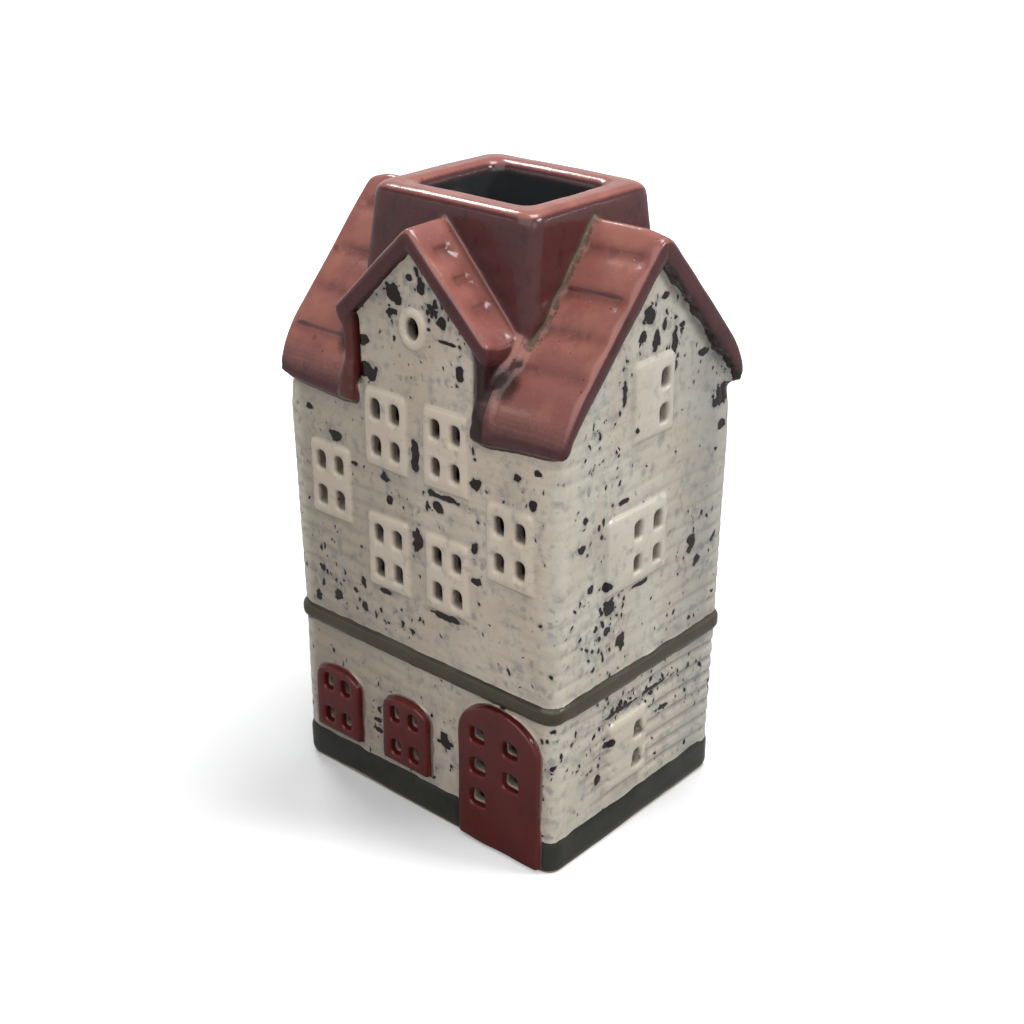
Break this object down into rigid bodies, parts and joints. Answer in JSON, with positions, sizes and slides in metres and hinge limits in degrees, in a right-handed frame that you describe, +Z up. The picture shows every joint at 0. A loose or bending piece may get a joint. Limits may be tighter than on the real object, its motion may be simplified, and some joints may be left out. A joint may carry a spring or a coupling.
{
  "type": "house candle holder",
  "caption": "Glazed ceramic candle house with pierced windows, a steep roof with a front cross gable, a hollow chimney and an arched rear doorway for a tealight.",
  "frame": {"origin": "middle of the foot, on the surface that the house stands on", "axes": "+Z up, the front with the door looks along -Y, +X to the right as one looks at the front"},
  "size_m": [0.086, 0.067, 0.1489],
  "materials": {
    "wall_glaze": "glossy crawled cream glaze with bare dark spots",
    "frame_glaze": "glossy cream glaze",
    "roof_glaze": "glossy mauve red glaze, darker in the grooves",
    "barge_glaze": "glossy dark maroon glaze",
    "red_glaze": "glossy deep red glaze",
    "course_glaze": "glossy olive glaze",
    "plinth_glaze": "glossy dark green glaze",
    "foot_clay": "matt fired clay"
  },
  "bodies": {
    "root": {"floor_slab": "foot_clay", "front_wall": "wall_glaze", "back_wall": "wall_glaze", "left_gable_wall": "wall_glaze", "right_gable_wall": "wall_glaze", "plinth_band": "plinth_glaze", "string_course": "course_glaze", "upper_window_left": "frame_glaze", "upper_window_right": "frame_glaze", "lower_window_left": "frame_glaze", "lower_window_right": "frame_glaze", "side_window_left": "frame_glaze", "side_window_right": "frame_glaze", "arched_window_left": "red_glaze", "arched_window_middle": "red_glaze", "front_door": "red_glaze", "right_gable_attic_window": "frame_glaze", "right_gable_middle_window": "frame_glaze", "right_gable_ground_window": "frame_glaze", "left_gable_attic_window": "frame_glaze", "left_gable_middle_window": "frame_glaze", "left_gable_ground_window": "frame_glaze", "oculus_ring": "frame_glaze", "roof_front_left": "roof_glaze", "roof_front_right": "roof_glaze", "roof_back": "roof_glaze", "cross_roof_left": "roof_glaze", "cross_roof_right": "roof_glaze", "chimney": "roof_glaze", "left_bargeboard_front": "barge_glaze", "left_bargeboard_back": "barge_glaze", "right_bargeboard_front": "barge_glaze", "right_bargeboard_back": "barge_glaze", "cross_bargeboard_left": "barge_glaze", "cross_bargeboard_right": "barge_glaze", "cross_cheek_left": "barge_glaze", "cross_cheek_right": "barge_glaze"}
  },
  "joints": []
}
